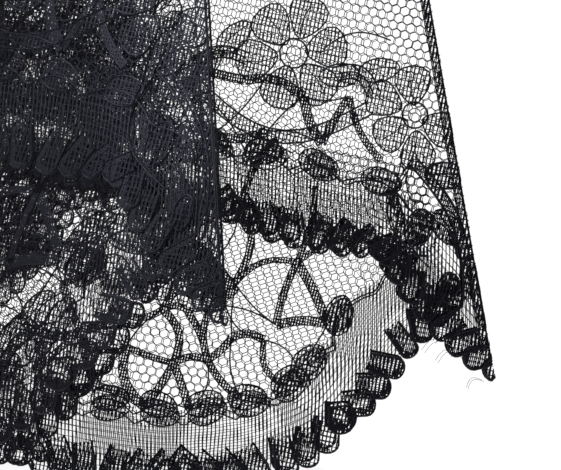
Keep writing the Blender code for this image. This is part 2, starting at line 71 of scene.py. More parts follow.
WAVES = np.array([4.0, 5.0, 3.0, 1.6])  # in mm at the hem, of one to four half waves across a wing
RIPPLE = 0.9 * MM
CREST_SWELL = 0.8 * MM
CREST_SOFT = 6 * MM  # how far from the crest the lace swells before it turns over
LACE_START = 5 * MM
HEM = TIP_TOP - 3.5 * MM  # along the rib to the line of the hem
POINT_DROP = 21 * MM  # how much lower the hem's point hangs between two ribs
POINT_SHARE = 0.18  # of the hem's width, over which it drops
SCALLOP_PITCH = 34 * MM
SCALLOP_DEPTH = 4 * MM
LOBES = 8  # in each scallop
LOBE_LENGTH = 6.2 * MM
LOBE_LEAN = math.radians(40)
BORDER_HEIGHT = 9.5 * MM  # of the laddered band over the hem's line, to the chain of leaves
SWAG = 2.4 * MM  # how much the band rises between two leaves
LEAF_PITCH = 11.5 * MM
CHAIN_LEAF = (7.8 * MM, 5.2 * MM)
NET_MESH = 1.8 * MM
CLOTH_PITCH = 0.76 * MM  # between two threads of the clothwork, and of the border's ladder
CORD = 0.19 * MM  # radius of an outline cord
FINE_CORD = 0.13 * MM
LIFT = 0.22 * MM  # of the clothwork off the net
GRID_ROWS = 64
GRID_COLUMNS = 60
LOOSE_THREADS = 26
LOOSE_THREAD = 0.05 * MM  # radius
FLOWER_ROWS = (47, 96, 143, 192, 243, 292)  # over the hem's point, in mm
FLOWER_PITCH = 27.5  # along a row, in mm
PETALS = 6
PETAL_LENGTH = 8.6 * MM
PETAL_WIDTH = 7.4 * MM
FLOWER_REACH = 9.5 * MM  # from a flower's middle to the stems that meet it
COBBLE_PITCH = 11.5 * MM  # of the bars over the border
THICKET_INSET = 58 * MM  # from the crest to the leaves that are close together
THICKET_TOP = 150 * MM  # over the hem
THICKET_PITCH = 8.5 * MM
TIE_PITCH = 27 * MM
TIE_RADIUS = 1.3 * MM
FRILL_SEAM = 16 * MM  # above the hem, where the frill is sewn on under the lace
FRILL_ROWS = 26
FRILL_HANG = 0.10  # how far a frill leans off the lace, as a share of the way from the crest
MOST_HANG = 9 * MM
HEM_STEPS = 40  # between two of the frill hem's points
# The frill's hem, from the rib to near the crest, from the hem's point: (along, across) in mm.
FRILL_HEM = (
    (24, -157), (29, -130), (33, -100), (33, -66), (28, -46), (23, -37), (18.5, -31),
    (13, -27), (6, -24), (-2, -21), (-8, -16.5), (-13, -11),
)


def gore_angle(rib_angle):
    """Between a rib and the middle line of its gore, in the gore's plane."""
    return math.asin(math.sin(rib_angle) * math.sin(HALF_GORE))


CREST_SLOPE = math.tan(gore_angle(OPEN_ANGLE))
APEX = PIVOT_RADIUS / math.sin(OPEN_ANGLE)


def crest(along):
    """The half gore's width across the rib, at a distance along the rib."""
    return (along + APEX) * CREST_SLOPE


LOWEST = HEM + POINT_DROP  # along the rib to the hem's point
HEM_WIDTH = crest(LOWEST)


def by_crest(along, inset):
    """The place on the flat lace that is this far in from the crest."""
    return np.stack([along, crest(along) - inset], -1)


def fold_angle(along):
    """The wing's angle at rest from the tangent outwards, which puts its crest on the gore's middle plane."""
    share = (PIVOT_RADIUS + along * math.sin(CLOSED_ANGLE)) / (PIVOT_RADIUS + along * math.sin(OPEN_ANGLE))
    fold = np.arccos(share * math.cos(gore_angle(OPEN_ANGLE)) / math.cos(gore_angle(CLOSED_ANGLE)))
    return fold - math.atan(math.tan(HALF_GORE) * math.cos(CLOSED_ANGLE))


# ---- the lace's surface in space


class Wing:
    """A half gore's surface: (along, across, lift) on the flat lace to a place in the frame, at rest."""

    def __init__(self, number, side):
        self.side = side
        word = "left" if side > 0 else "right"
        self.body = f"lace_{word}_{number}"
        turn = 2 * HALF_GORE * (number - 1)
        out = np.array([math.cos(turn), math.sin(turn), 0])
        up = np.array([0, 0, 1.0])
        self.round = np.array([-math.sin(turn), math.cos(turn), 0])
        self.pivot = PIVOT_RADIUS * out + CROWN.z * up
        self.down = math.sin(CLOSED_ANGLE) * out - math.cos(CLOSED_ANGLE) * up
        self.out = math.cos(CLOSED_ANGLE) * out + math.sin(CLOSED_ANGLE) * up
        self.waves = rng.uniform(-1, 1, len(WAVES)) * WAVES * MM
        self.phase = rng.uniform(0, 2 * math.pi, 2)

    def place(self, points, hang=0.0):
        """Hang is how far a frill is on the inner side of the lace, as a share of the way from the crest."""
        along, across, lift = points.T
        angle = fold_angle(np.maximum(along, 0))
        width = np.maximum(crest(np.maximum(along, 0)), 1 * MM)
        inside = np.maximum(width - across, 0)
        share = np.clip(across / width, 0, 1)
        fall = (np.clip(along, 0, None) / HEM) ** 1.4
        wave = sum(size * np.sin((i + 1) * math.pi * share) for i, size in enumerate(self.waves)) * fall
        ripple = RIPPLE * np.sin(along / (9 * MM) + self.phase[0])
        ripple = ripple * np.sin(across / (13 * MM) + self.phase[1])
        wave = np.maximum(wave + ripple * np.sin(math.pi * share), -0.05 * inside)
        wave = wave + CREST_SWELL * np.sin(math.pi * np.clip(inside / CREST_SOFT, 0, 1))
        cos, sin = np.cos(angle)[:, None], np.sin(angle)[:, None]
        flat = cos * self.side * self.round + sin * self.out
        normal = -sin * self.side * self.round + cos * self.out
        if hang:
            wave = np.minimum(wave, 0) - np.minimum(hang * inside, MOST_HANG)
        on_rib = self.pivot + along[:, None] * self.down
        return on_rib + across[:, None] * flat + (wave + lift)[:, None] * normal


# ---- drawing on the flat lace


def quads(rows, columns, start=0, wrap=False):
    """Faces between rows of points, each row as long as the others. Wrap joins each row's ends."""
    faces = []
    for i in range(rows - 1):
        for j in range(columns if wrap else columns - 1):
            a, b = start + i * columns + j, start + i * columns + (j + 1) % columns
            faces.append((a, b, b + columns, a + columns))
    return faces


def heading(turn):
    """The unit vector at this turn on the flat lace."""
    return np.array([math.cos(turn), math.sin(turn)])


def turned(vector, turn):
    """A vector on the flat lace, turned by this much."""
    cos, sin = math.cos(turn), math.sin(turn)
    return np.array([vector[0] * cos - vector[1] * sin, vector[0] * sin + vector[1] * cos])


def left_of(step):
    """The unit vectors to the left of these steps."""
    return np.stack([-step[:, 1], step[:, 0]], 1) / np.maximum(np.hypot(*step.T), 1e-9)[:, None]


def offset(line, distance):
    """The line moved to its left by a distance."""
    return line + left_of(np.gradient(line, axis=0)) * distance


class Drawing:
    """Quads on the flat lace, as (along, across, lift) points."""

    def __init__(self):
        self.points = []
        self.faces = []

    def grid(self, rows):
        """A sheet through rows of points, each row as long as the others."""
        self.faces.extend(quads(len(rows), len(rows[0]), len(self.points)))
        for row in rows:
            self.points.extend(row)

    def cord(self, line, radius, lift=LIFT, closed=False):
        """A round cord along a line of (along, across) points."""
        line = np.asarray(line, float)
        if closed:
            line = np.vstack([line, line[:1]])
            step = np.roll(line[:-1], -1, 0) - np.roll(line[:-1], 1, 0)
            step = np.vstack([step, step[:1]])
        else:
            step = np.gradient(line, axis=0)
        side = left_of(step)
        rows = []
        for turn in (90, 210, 330, 450):
            a = math.radians(turn)
            shifted = line + side * radius * math.cos(a)
            rows.append([(x, y, lift + radius * math.sin(a)) for x, y in shifted])
        self.grid(rows)

    def band(self, line, width, lift=LIFT, ends=1.0):
        """A flat ribbon of clothwork along a line; ends is its width at its ends, as a share."""
        line = np.asarray(line, float)
        side = left_of(np.gradient(line, axis=0))
        share = np.linspace(0, 1, len(line))
        half = width / 2 * (ends + (1 - ends) * np.sin(math.pi * share))
        rows = []
        for part in (-1, 0, 1):
            rows.append([(x, y, lift) for x, y in line + side * (half * part)[:, None]])
        self.grid(rows)

    def petal(self, centre, turn, length, width, lift=LIFT, blunt=0.35, sides=14):
        """An oval of clothwork, blunter at its outer end. It gives its outline back."""
        rim = []
        for i in range(sides):
            a = 2 * math.pi * i / sides
            x = math.cos(a) * length / 2
            y = math.sin(a) * width / 2 * (1 + blunt * math.cos(a) * 0.6)
            rim.append(centre + turned((x, y), turn))
        rim = np.array(rim)
        closed = np.vstack([rim, rim[:1]])
        middle = rim.mean(0)
        rows = []
        for share in (1.0, 0.5, 0.02):
            rows.append([(x, y, lift) for x, y in middle + (closed - middle) * share])
        self.grid(rows)
        return rim


class Edge:
    """A hem's line on the flat lace, from the rib to the crest, with the scallops along it."""

    def __init__(self, line):
        self.line = np.asarray(line, float)
        step = np.diff(self.line, axis=0)
        self.round = np.concatenate([[0], np.cumsum(np.hypot(*step.T))])
        self.length = self.round[-1]
        self.scallops = round(self.length / SCALLOP_PITCH)
        self.pitch = self.length / self.scallops
        self.leaves = round(self.length / LEAF_PITCH)

    def point(self, round_hem):
        """The place on the flat lace at a distance round the hem."""
        return np.array([np.interp(round_hem, self.round, axis) for axis in self.line.T])

    def down(self, round_hem):
        """The unit vector off the hem, out of the lace."""
        step = 1.5 * MM
        along, across = self.point(round_hem + step) - self.point(round_hem - step)
        size = max(math.hypot(along, across), 1e-9)
        return np.array([across, -along]) / size

    def over(self, round_hem, height):
        """The place at a height over the hem's line."""
        return self.point(round_hem) - self.down(round_hem) * height

    def scallop(self, round_hem):
        """How far the scallops hang under the line."""
        part = min(max(round_hem, 0), self.length * 0.9999) / self.pitch % 1
        return SCALLOP_DEPTH * math.sin(math.pi * part) ** 0.8

    def chain(self, round_hem):
        """The height of the swags between the leaves."""
        return BORDER_HEIGHT + SWAG * abs(math.sin(math.pi * round_hem * self.leaves / self.length))

    def measure(self, points):
        """(round the hem, over the hem) of points on the flat lace."""
        measured = []
        for start in range(0, len(points), 4000):
            part = points[start : start + 4000, None]
            near = np.hypot(*np.moveaxis(part - self.line[None], 2, 0)).argmin(1)
            gap = self.line[near] - points[start : start + 4000]
            step = self.line[np.minimum(near + 1, len(self.line) - 1)] - self.line[np.maximum(near - 1, 0)]
            size = np.maximum(np.hypot(*step.T), 1e-9)
            over = (gap[:, 0] * step[:, 1] - gap[:, 1] * step[:, 0]) / size
            ahead = -(gap[:, 0] * step[:, 0] + gap[:, 1] * step[:, 1]) / size
            measured.append(np.stack([self.round[near] + ahead, over], 1))
        return np.vstack(measured)


def main_hem():
    """The hem's line: level, then down to the point in its last share."""
    across = np.linspace(0, HEM_WIDTH, 500)
    reach = (across / HEM_WIDTH - 1 + POINT_SHARE) / POINT_SHARE
    drop = np.where(reach > 0.25, reach, np.clip(reach + 0.25, 0, None) ** 2)
    return np.stack([HEM + POINT_DROP * drop, across], 1)


def frill_hem():
    """A smooth line through the frill's hem points."""
    points = np.array(FRILL_HEM) * MM + np.array([LOWEST, HEM_WIDTH])
    points = np.vstack([2 * points[0] - points[1], points, 2 * points[-1] - points[-2]])
    line = []
    for a, b, c, d in zip(points, points[1:], points[2:], points[3:]):
        square, cube = 2 * a - 5 * b + 4 * c - d, 3 * b - a - 3 * c + d
        for t in np.arange(HEM_STEPS) / HEM_STEPS:
            line.append(0.5 * (2 * b + (c - a) * t + square * t**2 + cube * t**3))
    return np.array(line + [points[-2]])


def ease(a, b, steps, bow=0.0):
    """A line from a to b, bowed to its side by a share of its length."""
    a, b = np.asarray(a, float), np.asarray(b, float)
    side = np.array([-(b - a)[1], (b - a)[0]])
    share = np.linspace(0, 1, steps)[:, None]
    return a + (b - a) * share + side * bow * np.sin(math.pi * share)


def draw_net(edge, top, rows, power, stray):
    """A ground: one sheet from a line near the crown or the seam to just inside the ends of the lobes."""
    drawing = Drawing()
    shares = np.linspace(0, 1, GRID_COLUMNS)
    ends = []
    for v in shares:
        round_hem = edge.length * v
        loose = stray * max(0.0, noise(Vector((round_hem / (11 * MM), 3.1, 0))))
        ends.append(edge.over(round_hem, 2.6 * MM - edge.scallop(round_hem) - loose))
    ends = np.array(ends)
    starts = np.array([top(v) for v in shares])
    lines = []
    for u in np.linspace(0, 1, rows) ** power:
        line = starts + (ends - starts) * u
        line[:, 1] = np.minimum(line[:, 1], crest(line[:, 0]))
        lines.append([(x, y, 0.0) for x, y in line])
    drawing.grid(lines)
    return drawing


def flower_places(seed):
    """Where the flowers are, row by row over the hem, each with its size and turn."""
    places = []
    draws = np.random.default_rng(seed)
    for r, height in enumerate(FLOWER_ROWS):
        along = LOWEST - height * MM
        across = crest(along) - (8 if r % 2 == 0 else 23) * MM
        n = 0
        while across > 8 * MM:
            size = draws.uniform(0.88, 1.08)
            lower = -7 * MM if n % 2 and r == 0 else draws.uniform(-4, 4) * MM * (n > 0)
            places.append((along + lower, across, size, draws.uniform(0, 2 * math.pi), r))
            across -= (FLOWER_PITCH + draws.uniform(-1.5, 1.5)) * MM
            n += 1
    return places


def inside(point, margin=1.5 * MM):
    """Whether a point is on the wing, this far from its edges."""
    along, across = point
    return LACE_START < along and margin < across < crest(along) - margin


def keep_inside(line, margin=0.2 * MM):
    """A line, held inside the wing's edges. What has a width of its own takes a wider margin."""
    line = np.array(line, float)
    line[:, 1] = np.clip(line[:, 1], margin + 0.2 * MM, crest(line[:, 0]) - margin - 0.1 * MM)
    return line


def draw_flower(cloth, cords, place):
    """A flower of six petals round an eye of two rings with spokes between them."""
    along, across, size, turn, _ = place
    centre = np.array([along, across])
    for i in range(PETALS):
        a = turn + 2 * math.pi * i / PETALS
        out = heading(a)
        reach = 7.0 * MM * size * (1 + 0.1 * math.sin(3 * i + turn))
        middle = centre + out * reach
        if not inside(middle, 2.0 * MM):
            continue
        lift = LIFT + 0.05 * MM * (i % 2)
        rim = cloth.petal(middle, a, PETAL_LENGTH * size, PETAL_WIDTH * size, lift, blunt=0.75)
        cords.cord(keep_inside(rim), CORD, closed=True)
        bow = 0.08 if i % 2 else -0.08
        vein = ease(centre + out * 3.4 * MM * size, middle + out * 2.6 * MM * size, 5, bow)
        cords.cord(keep_inside(vein), FINE_CORD)
    for ring, radius in ((2.9, CORD * 1.2), (1.5, FINE_CORD)):
        eye = [centre + ring * MM * size * heading(a) for a in np.arange(12) * math.pi / 6]
        cords.cord(keep_inside(eye), radius, closed=True)
    for i in range(5):
        out = heading(turn + 1.3 + 2 * math.pi * i / 5)
        spoke = ease(centre + out * 1.5 * MM, centre + out * 2.8 * MM * size, 4)
        cords.cord(keep_inside(spoke), FINE_CORD)


def draw_leaf(cloth, cords, centre, turn, length, width):
    """A leaf with its outline and its vein, left out where it would cross the wing's edge."""
    if not inside(centre, width / 2 + 0.4 * MM):
        return
    rim = cloth.petal(centre, turn, length, width, blunt=-0.2)
    cords.cord(rim, CORD, closed=True)
    half_vein = heading(turn) * length * 0.45
    cords.cord(ease(centre - half_vein, centre + half_vein, 5, 0.05), FINE_CORD)


def draw_stem(cloth, cords, a, b, bow, width):
    """A stem: a ribbon of open clothwork between two cords."""
    line = keep_inside(ease(a, b, 12, bow))
    cloth.band(line, width, ends=0.6)
    for part in (-0.5, 0.5):
        cords.cord(keep_inside(offset(line, width * part)), CORD * 1.15)


def draw_comb(cords, a, b, bow):
    """A cord with a row of small hanging loops on its lower side."""
    line = keep_inside(ease(a, b, 40, bow))
    cords.cord(line[::2], CORD)
    for i in range(3, 37, 4):
        foot, head = line[i - 1], line[i + 1]
        drop = np.array([3.2 * MM * math.sin(math.pi * i / 40) ** 0.4, 0])
        loop = [foot, foot + drop * 0.7, (foot + head) / 2 + drop, head + drop * 0.7, head]
        cords.cord(keep_inside(loop), FINE_CORD)


def draw_bars(dense, cords, edge, rows, seed, low=6.0):
    """The cobbles over the border: windows of net between bars of clothwork."""
    draws = np.random.default_rng(seed)
    nodes = {}
    columns = int(edge.length / COBBLE_PITCH) + 2
    for i in range(columns):
        for j in range(rows):
            round_hem = (i + 0.5 * (j % 2)) * COBBLE_PITCH + draws.uniform(-2, 2) * MM
            height = BORDER_HEIGHT + (low + 9.5 * j + draws.uniform(-2, 2)) * MM
            nodes[i, j] = edge.over(min(max(round_hem, 0), edge.length), height)
    for (i, j), here in nodes.items():
        near = [(i + 1, j), (i, j + 1), (i - 1 + 2 * (j % 2), j + 1)]
        for other in near:
            if other not in nodes or draws.random() < 0.25:
                continue
            there = nodes[other]
            if not (inside(here) and inside(there)):
                continue
            line = keep_inside(ease(here, there, 7, draws.uniform(-0.2, 0.2)))
            if draws.random() < 0.7:
                width = draws.uniform(1.0, 1.9) * MM
                dense.band(line, width, ends=1.25)
                for part in (-0.5, 0.5):
                    cords.cord(offset(line, width * part), FINE_CORD)
            else:
                cords.cord(line, CORD)


def draw_chain(cloth, cords, edge):
    """The chain of leaves over the border, with its swags."""
    line = [edge.over(s, edge.chain(s)) for s in np.linspace(0.6 * MM, edge.length - 0.6 * MM, 170)]
    cords.cord(keep_inside(line), CORD)
    pitch = edge.length / edge.leaves
    for i in range(edge.leaves):
        middle = (i + 0.5) * pitch
        centre = edge.over(middle, edge.chain(middle) + 0.2 * MM)
        down = edge.down(middle)
        tilt = math.atan2(down[0], -down[1]) + (0.22 if i % 2 else -0.22)
        draw_leaf(cloth, cords, centre, tilt, *CHAIN_LEAF)


def draw_lobes(cloth, dense, cords, edge):
    """The hem: leaning fingers of clothwork, each with one dense limb, and rounded at its end."""
    for s in range(edge.scallops):
        for i in range(LOBES):
            part = (i + 0.5) / LOBES
            middle = edge.pitch * (s + part)
            reach = edge.pitch / LOBES / 2
            sides = [edge.over(middle + shift, -3 * MM) for shift in (reach, -reach)]
            width = np.linalg.norm(sides[0] - sides[1]) * 1.05
            swing = math.cos(math.pi * part)
            lean = LOBE_LEAN * math.copysign(abs(swing) ** 0.6, swing)
            down = edge.down(middle)
            axis = turned(down, lean)
            side = np.array([-axis[1], axis[0]])
            tip = edge.point(middle) + down * (edge.scallop(middle) + 0.6 * MM)
            length = LOBE_LENGTH * (0.85 + 0.3 * math.sin(math.pi * part))
            head = tip - axis * length
            half = width / 2
            turns = np.linspace(0, math.pi, 9)
            round_end = 0.75 * half
            arc = [tip + (math.sin(a) - 1) * round_end * axis - half * math.cos(a) * side for a in turns]
            left = head - side * half
            right = head + side * half * 0.8
            line = np.array([left, (left + arc[0]) / 2] + arc + [(right + arc[-1]) / 2, right])
            line = keep_inside(line, 0)
            lift = LIFT + 0.12 * MM * (i % 2)
            # The finger's own clothwork, from its head down between its limbs.
            shares = np.linspace(0, 1, 5)
            spine = np.array([left + (right - left) * share for share in shares])
            rim = np.array([line[round(share * (len(line) - 1))] for share in shares])
            rows = [keep_inside(spine + (rim - spine) * share, 0) for share in shares]
            cloth.grid([[(x, y, lift) for x, y in row] for row in rows])
            limb = offset(line, 0.5 * MM)[: len(line) // 2 + 2]
            dense.band(keep_inside(limb, 0.5 * MM), 1.05 * MM, lift=lift + 0.06 * MM, ends=0.8)
            other = offset(line, 0.22 * MM)[len(line) // 2 :]
            dense.band(keep_inside(other, 0.4 * MM), 0.4 * MM, lift=lift + 0.06 * MM, ends=0.5)
            cords.cord(line, CORD * 1.25, lift)


def draw_spray(cloth, cords):
    """The stem that hangs from the lowest flower to the hem's point, with its leaves."""
    knee = by_crest(LOWEST - 38 * MM, 10 * MM)
    foot = by_crest(LOWEST - 13 * MM, 3.5 * MM)
    draw_stem(cloth, cords, knee, foot, 0.12, 1.9 * MM)
    for share, turn, length in ((0.1, 1.15, 8.5), (0.3, -0.75, 8.0), (0.5, 0.95, 7.5), (0.75, -0.6, 6.0)):
        start = knee + (foot - knee) * share
        turn += math.atan2(*(foot - knee)[::-1])
        centre = start + heading(turn) * (1.6 * MM + length * MM / 2)
        draw_leaf(cloth, cords, centre, turn, length * MM, length * 0.62 * MM)
    cords.cord(keep_inside(ease(knee, foot - np.array([5, 9]) * MM, 14, -0.3)), CORD)
    along = np.linspace(HEM * 0.2, LOWEST - 3 * MM, 90)
    for inset, radius in ((0.5 * MM, CORD * 1.3), (2.3 * MM, FINE_CORD)):
        cords.cord(by_crest(along, inset), radius)
    cloth.band(by_crest(along, 1.4 * MM), 1.8 * MM)


def draw_motifs(edge, seed, rich):
    """The clothwork, the dense clothwork of the hem, and all the cords of a wing's lace."""
    cloth, dense, cords = Drawing(), Drawing(), Drawing()
    draws = np.random.default_rng(seed)
    places = flower_places(seed + 1)[0 if rich else 2 :: 1 if rich else 2]
    for place in places:
        draw_flower(cloth, cords, place)
    for n, here in enumerate(places):
        others = [p for p in places if p is not here and p[4] in (here[4], here[4] + 1)]
        others.sort(key=lambda p: math.hypot(p[0] - here[0], p[1] - here[1]))
        a = np.array(here[:2])
        for m, there in enumerate(others[: 2 if rich else 1]):
            b = np.array(there[:2])
            out = (b - a) / np.linalg.norm(b - a)
            start, end = a + out * FLOWER_REACH, b - out * FLOWER_REACH
            bow = draws.uniform(0.12, 0.28) * (1 if (n + m) % 2 else -1)
            if (n + m) % 3 == 0:
                draw_comb(cords, start, end, bow)
            else:
                draw_stem(cloth, cords, start, end, bow, draws.uniform(2.2, 3.0) * MM)
            middle = (start + end) / 2 + np.array([-(end - start)[1], (end - start)[0]]) * bow
            turn = math.atan2(out[1], out[0]) + draws.uniform(0.5, 1.0)
            draw_leaf(cloth, cords, middle + 4.2 * MM * heading(turn), turn, 8.5 * MM, 4.6 * MM)
        for _ in range(2):
            turn = draws.uniform(0, 2 * math.pi)
            far = a + heading(turn) * draws.uniform(20, 34) * MM
            line = keep_inside(ease(a + (far - a) * 0.3, far, 12, draws.uniform(-0.25, 0.25)))
            line[:, 0] = np.minimum(line[:, 0], HEM - BORDER_HEIGHT)
            cords.cord(line, CORD)
    if rich:
        draw_bars(dense, cords, edge, 2, seed + 2)
    draw_spray(cloth, cords)
    draw_thicket(cloth, cords, HEM - BORDER_HEIGHT - 6 * MM, HEM - THICKET_TOP, seed + 3)
    draw_chain(cloth, cords, edge)
    draw_lobes(cloth, dense, cords, edge)
    draw_fray(cords, edge)
    # A cord along the rib's edge.
    along = np.linspace(LACE_START, HEM, 60)
    cords.cord(np.stack([along, np.full(60, 0.9 * MM)], 1), CORD)
    return cloth, dense, cords


def draw_fray(cords, edge):
    """Loose threads, every second one near the hem's point and the others anywhere along the lobes."""
    draws = np.random.default_rng(5)
    for i in range(LOOSE_THREADS):
        at_point = i % 2
        round_hem = edge.length - draws.exponential(16) * MM if at_point else draws.uniform(0, edge.length)
        start = edge.over(max(round_hem, 0), -SCALLOP_DEPTH * 0.8)
        lean = draws.uniform(-1.2, 1.2)
        way = turned(edge.down(max(round_hem, 0)), lean)
        end = start + way * draws.uniform(2, 5.5) * MM
        cords.cord(ease(start, end, 6, draws.uniform(-0.4, 0.4)), LOOSE_THREAD)


def draw_thicket(cloth, cords, low, high, seed):
    """Leaves set close together in the part of the lace that is nearest the rib."""
    draws = np.random.default_rng(seed)
    for along in np.arange(high, low, THICKET_PITCH):
        for across in np.arange(6 * MM, crest(along) - THICKET_INSET, THICKET_PITCH):
            centre = np.array([along, across]) + draws.uniform(-2.5, 2.5, 2) * MM
            turn = math.pi * noise(Vector((centre[0] * 40, centre[1] * 40, seed)))
            length, width = draws.uniform(7.5, 11) * MM, draws.uniform(4.5, 6.5) * MM
            draw_leaf(cloth, cords, centre, turn, length, width)


def draw_frill_motifs(edge, seed, rich):
    """As draw_motifs, for the frill: nothing of it is above the seam."""
    cloth, dense, cords = Drawing(), Drawing(), Drawing()
    if rich:
        draw_bars(dense, cords, edge, 4, seed, low=5.0)
    draw_thicket(cloth, cords, LOWEST, HEM, seed + 3)
    draw_chain(cloth, cords, edge)
    draw_lobes(cloth, dense, cords, edge)
    for drawing in (cloth, dense, cords):
        drawing.points = [(max(x, HEM - FRILL_SEAM), y, z) for x, y, z in drawing.points]
    return cloth, dense, cords


# ---- materials


class Nodes:
    """Small helpers to wire a material."""

    def __init__(self, name):
        self.material = bpy.data.materials.new(name)
        self.material.use_nodes = True
        self.tree = self.material.node_tree
        self.shader = self.tree.nodes["Principled BSDF"]

    def node(self, kind, **settings):
        made = self.tree.nodes.new(kind)
        for key, value in settings.items():
            setattr(made, key, value)
        return made

    def math(self, operation, a, b=0.0, c=0.0, clamp=False):
        made = self.node("ShaderNodeMath", operation=operation, use_clamp=clamp)
        for socket, value in zip(made.inputs, (a, b, c)):
            self.feed(value, socket)
        return made.outputs[0]

    def uv(self, name):
        split = self.node("ShaderNodeSeparateXYZ")
        self.feed(self.node("ShaderNodeUVMap", uv_map=name).outputs[0], split.inputs[0])
        return split.outputs[0], split.outputs[1]

    def place(self):
        """The place on the object."""
        return self.node("ShaderNodeTexCoord").outputs["Object"]

    def noise(self, scale, detail=2.0, vector=None):
        made = self.node("ShaderNodeTexNoise")
        made.inputs["Scale"].default_value = scale
        made.inputs["Detail"].default_value = detail
        self.feed(self.place() if vector is None else vector, made.inputs["Vector"])
        return made.outputs["Fac"]

    def line(self, coordinate, pitch):
        """Distance to the nearest of a row of lines, in metres."""
        part = self.math("FRACT", self.math("DIVIDE", coordinate, pitch))
        return self.math("MULTIPLY", self.math("ABSOLUTE", self.math("SUBTRACT", part, 0.5)), pitch)

    def bump(self, height, strength, distance):
        """Relief from a height, over the whole material."""
        made = self.node("ShaderNodeBump")
        made.inputs["Strength"].default_value = strength
        made.inputs["Distance"].default_value = distance
        self.feed(height, made.inputs["Height"])
        self.set(Normal=made.outputs[0])

    def feed(self, value, socket):
        """Another node's output is linked, and anything else is the socket's own value."""
        if isinstance(value, bpy.types.NodeSocket):
            self.tree.links.new(value, socket)
        else:
            socket.default_value = value

    def set(self, **values):
        """The shader's inputs, by their names with _ for a space."""
        for name, value in values.items():
            self.feed(value, self.shader.inputs[name.replace("_", " ")])

    def mix(self, factor, a, b):
        made = self.node("ShaderNodeMix", data_type="RGBA")
        self.feed(factor, made.inputs["Factor"])
        made.inputs["A"].default_value = (*a, 1)
        made.inputs["B"].default_value = (*b, 1)
        return made.outputs["Result"]


def hexagon_distance(n, x, y, mesh):
    """Distance to the nearest side of a honeycomb whose meshes are this wide, in metres."""
    root = math.sqrt(3)
    x, y = n.math("DIVIDE", x, mesh), n.math("DIVIDE", y, mesh)
    best = None
    for shift in (0.0, 0.5):
        dx = n.math("ABSOLUTE", n.math("SUBTRACT", n.math("FRACT", n.math("ADD", x, shift)), 0.5))
        fy = n.math("FRACT", n.math("ADD", n.math("DIVIDE", y, root), shift))
        dy = n.math("ABSOLUTE", n.math("MULTIPLY", n.math("SUBTRACT", fy, 0.5), root))
        slanted = n.math("ADD", n.math("MULTIPLY", dx, 0.5), n.math("MULTIPLY", dy, root / 2))
        reach = n.math("MAXIMUM", dx, slanted)
        best = reach if best is None else n.math("MINIMUM", best, reach)
    return n.math("MULTIPLY", n.math("SUBTRACT", 0.5, best), mesh)


def thread_shader(n):
    """Black thread: nearly black, a little uneven, with a cool sheen."""
    colour = n.mix(n.noise(900, 3), (0.002, 0.002, 0.003), (0.007, 0.007, 0.0105))
    rough = n.math("ADD", n.math("MULTIPLY", n.noise(400), 0.25), 0.55)
    n.set(Base_Color=colour, Roughness=rough, Specular_IOR_Level=0.05)
    n.set(Sheen_Weight=0.05, Sheen_Roughness=0.5, Sheen_Tint=(0.55, 0.58, 0.75, 1))


def round_thread(n, distance, width):
    """Bump for a thread that is highest on its middle line."""
    height = n.math("SUBTRACT", 1.0, n.math("DIVIDE", distance, width), clamp=True)
    n.bump(height, 0.6, 0.1 * MM)


def net_material():
    """The ground: honeycomb net, and a ladder of near-parallel threads in the border."""
    n = Nodes("lace_net")
    thread_shader(n)
    x, y = n.uv("lace")
    wobble = n.math("MULTIPLY", n.math("SUBTRACT", n.noise(260), 0.5), 0.55 * MM)
    net = hexagon_distance(n, n.math("ADD", y, wobble), n.math("SUBTRACT", x, wobble), NET_MESH)
    width = n.math("MULTIPLY_ADD", n.noise(700), 0.06 * MM, 0.045 * MM)
    net_mask = n.math("LESS_THAN", net, width)
    round_hem, over_hem = n.uv("border")
    drift = n.math("ADD", n.math("MULTIPLY_ADD", x, -0.2, y), n.math("MULTIPLY", n.noise(90), 1.6 * MM))
    rungs = n.math("LESS_THAN", n.line(drift, CLOTH_PITCH), 0.105 * MM)
    cross = n.math("LESS_THAN", n.line(n.math("ADD", over_hem, wobble), 1.15 * MM), 0.055 * MM)
    ladder = n.math("MAXIMUM", rungs, cross)
    swag = n.math("ABSOLUTE", n.math("SINE", n.math("MULTIPLY", round_hem, math.pi / LEAF_PITCH)))
    top = n.math("MULTIPLY_ADD", swag, SWAG, BORDER_HEIGHT)
    under_top, over_lobes = n.math("LESS_THAN", over_hem, top), n.math("GREATER_THAN", over_hem, -9 * MM)
    inside_border = n.math("MULTIPLY", under_top, over_lobes)
    mask = n.node("ShaderNodeMix", data_type="FLOAT")
    n.feed(inside_border, mask.inputs["Factor"])
    n.feed(net_mask, mask.inputs["A"])
    n.feed(ladder, mask.inputs["B"])
    n.set(Alpha=mask.outputs["Result"])
    round_thread(n, net, 0.15 * MM)
    return n.material


def cloth_material(name, pitch, thread, cross_pitch, cross_thread):
    """Clothwork: close threads along the grain and thinner ones across it, its holes not all the same."""
    n = Nodes(name)
    thread_shader(n)
    x, y = n.uv("lace")
    wobble = n.math("MULTIPLY", n.math("SUBTRACT", n.noise(200), 0.5), 0.7 * MM)
    one = n.line(n.math("ADD", y, wobble), pitch)
    two = n.line(n.math("ADD", x, wobble), cross_pitch)
    uneven = n.math("MULTIPLY_ADD", n.noise(500), 0.7, 0.65)
    mask = n.math(
        "MAXIMUM",
        n.math("LESS_THAN", one, n.math("MULTIPLY", uneven, thread)),
        n.math("LESS_THAN", two, n.math("MULTIPLY", uneven, cross_thread)),
    )
    n.set(Alpha=mask)
    round_thread(n, n.math("MINIMUM", one, two), thread)
    return n.material


def cord_material():
    """Twisted thread."""
    n = Nodes("lace_cord")
    thread_shader(n)
    twist = n.node("ShaderNodeTexWave", wave_type="BANDS", bands_direction="DIAGONAL")
    twist.inputs["Scale"].default_value = 900
    n.feed(n.place(), twist.inputs["Vector"])
    n.bump(twist.outputs["Fac"], 0.5, 0.08 * MM)
    return n.material


